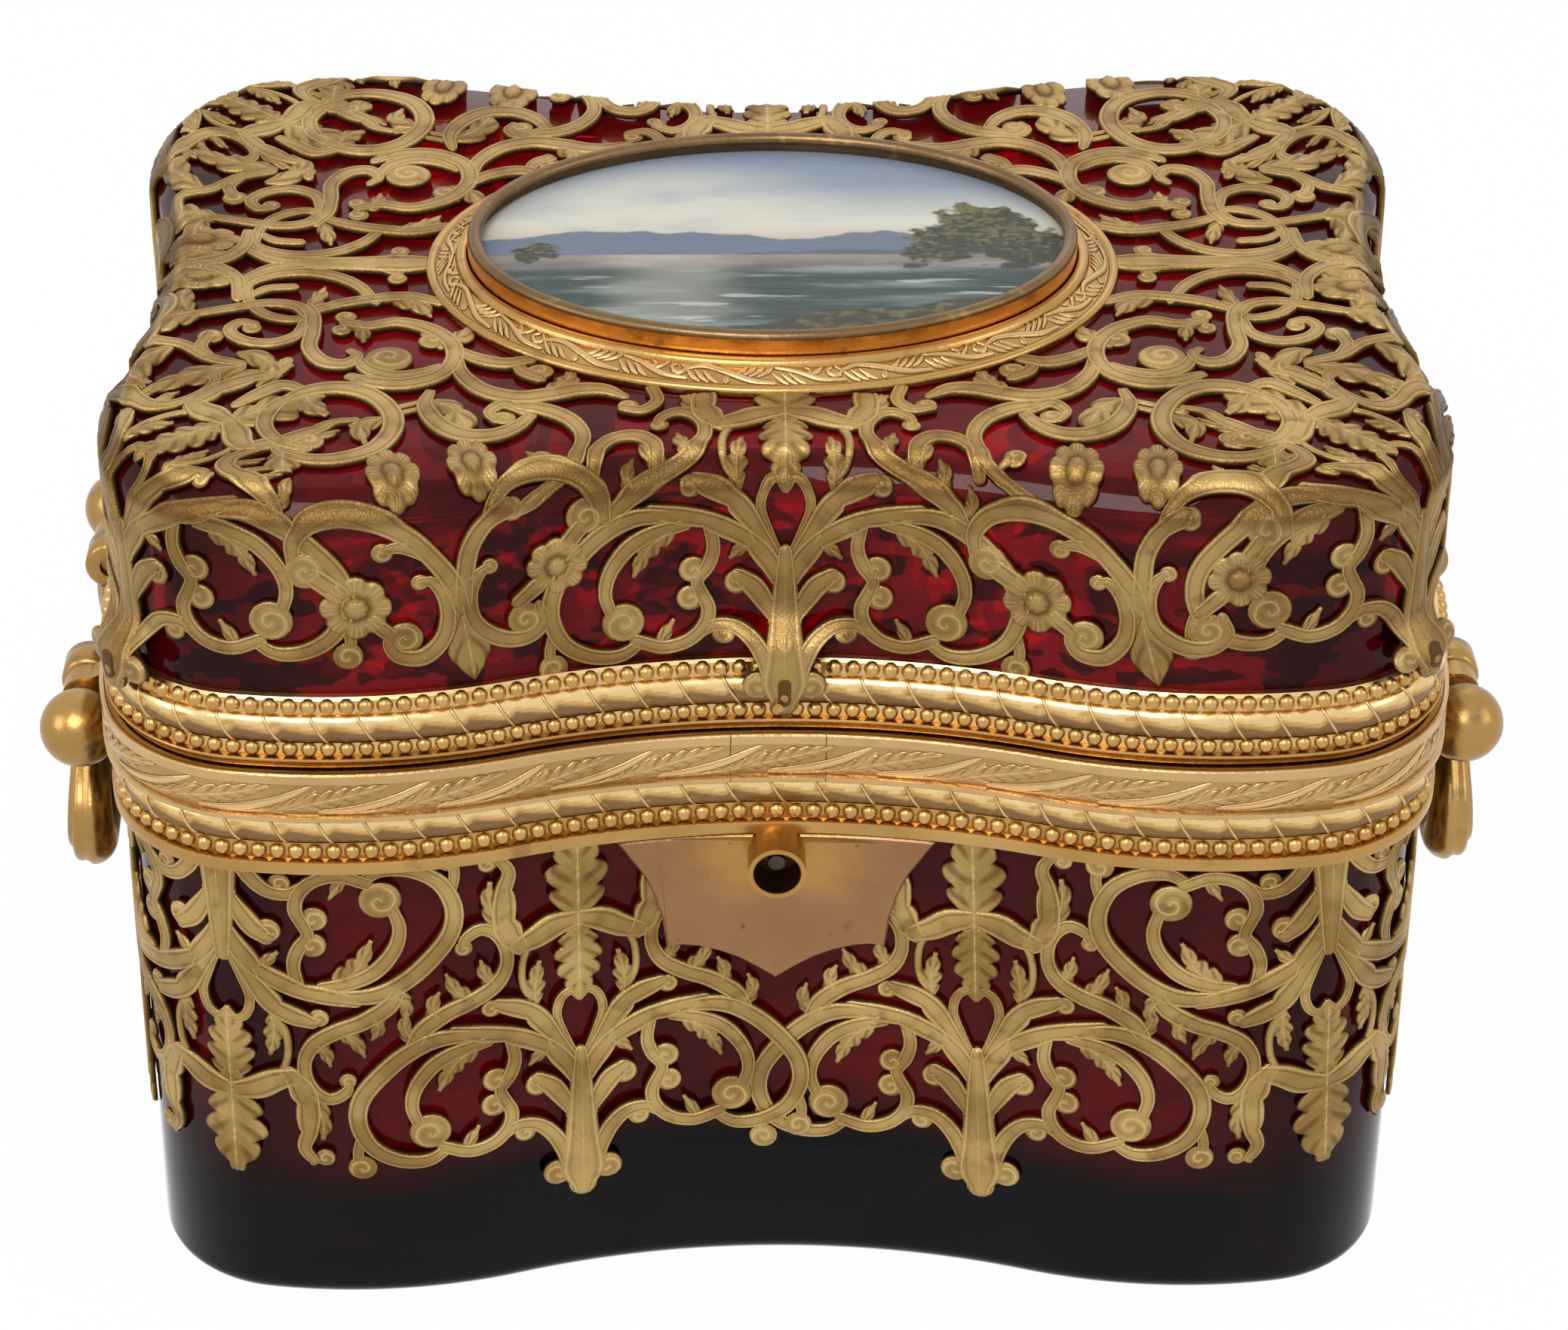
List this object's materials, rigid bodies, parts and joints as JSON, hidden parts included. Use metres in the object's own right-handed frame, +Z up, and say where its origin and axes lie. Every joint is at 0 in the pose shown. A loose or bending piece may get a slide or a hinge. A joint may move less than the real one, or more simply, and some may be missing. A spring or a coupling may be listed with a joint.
{
  "type": "glass casket box",
  "caption": "Hinged ruby glass casket with pierced gilt mounts, a framed oval plaque in the lid, a lock plate and two swinging drop handles.",
  "frame": {"origin": "middle of the underside, on the face it rests on", "axes": "+Z up, +X along the box's width, the lock at -Y"},
  "size_m": [0.1618, 0.109, 0.1091],
  "materials": {
    "ruby_glass": "polished dark ruby glass",
    "clear_glass": "polished clear glass",
    "painted_enamel": "painted landscape under glass",
    "bright_gilt": "burnished gilding, worn on the high spots",
    "matt_gilt": "matt gilding with brighter edges",
    "worn_brass": "gilding worn to pinkish brass",
    "lock_steel": "filed steel"
  },
  "bodies": {
    "base": {"base_glass": "ruby_glass", "base_collar": "bright_gilt", "base_bead_row": "bright_gilt", "base_rope_moulding": "bright_gilt", "chased_band": "bright_gilt", "base_mount_front_left": "matt_gilt", "base_mount_front_right": "matt_gilt", "base_mount_back_left": "matt_gilt", "base_mount_back_right": "matt_gilt", "base_mount_left_front": "matt_gilt", "base_mount_left_back": "matt_gilt", "base_mount_right_front": "matt_gilt", "base_mount_right_back": "matt_gilt", "base_mount_corner_fl": "matt_gilt", "base_mount_corner_fr": "matt_gilt", "base_mount_corner_bl": "matt_gilt", "base_mount_corner_br": "matt_gilt", "lock_plate": "worn_brass", "key_barrel": "worn_brass", "drill_pin": "lock_steel", "lock_case": "lock_steel", "hinge_base_leaves": "bright_gilt", "hinge_pins": "lock_steel", "hinge_rivets": "bright_gilt", "handle_lugs": "bright_gilt", "handle_pivots": "bright_gilt"},
    "lid": {"lid_glass": "ruby_glass", "lid_collar": "bright_gilt", "lid_lower_bead_row": "bright_gilt", "lid_rope_moulding": "bright_gilt", "lid_upper_bead_row": "bright_gilt", "lid_mount_front": "matt_gilt", "lid_mount_back": "matt_gilt", "lid_mount_corner_fl": "matt_gilt", "lid_mount_corner_fr": "matt_gilt", "lid_mount_corner_bl": "matt_gilt", "lid_mount_corner_br": "matt_gilt", "lid_flower_front_left": "matt_gilt", "lid_flower_front_right": "matt_gilt", "lid_flower_back_left": "matt_gilt", "lid_flower_back_right": "matt_gilt", "lid_flower_left": "matt_gilt", "lid_flower_right": "matt_gilt", "lid_top_mount_fl": "matt_gilt", "lid_top_mount_fr": "matt_gilt", "lid_top_mount_bl": "matt_gilt", "lid_top_mount_br": "matt_gilt", "mount_pins": "bright_gilt", "medallion_border": "bright_gilt", "bezel_band": "bright_gilt", "bezel_rim": "bright_gilt", "cover_glass": "clear_glass", "painted_plaque": "painted_enamel", "plaque_backing": "bright_gilt", "lid_catch": "lock_steel", "hinge_lid_leaves": "bright_gilt"},
    "left_handle": {"left_handle": "bright_gilt"},
    "right_handle": {"right_handle": "bright_gilt"},
    "bolt": {"lock_bolt": "lock_steel"}
  },
  "joints": [
    {"name": "lid_hinge", "type": "hinge", "parent": "base", "child": "lid", "pos_m": [0, 0.0546, 0.0726], "axis": [-1, 0, 0], "range_deg": [0, 100]},
    {"name": "left_handle_swing", "type": "hinge", "parent": "base", "child": "left_handle", "pos_m": [-0.0765, 0, 0.06], "axis": [0, 1, 0], "range_deg": [-6, 175]},
    {"name": "right_handle_swing", "type": "hinge", "parent": "base", "child": "right_handle", "pos_m": [0.0765, 0, 0.06], "axis": [0, -1, 0], "range_deg": [-6, 175]},
    {"name": "bolt_slide", "type": "slide", "parent": "base", "child": "bolt", "axis": [1, 0, 0], "range_m": [0, 0.004]}
  ]
}
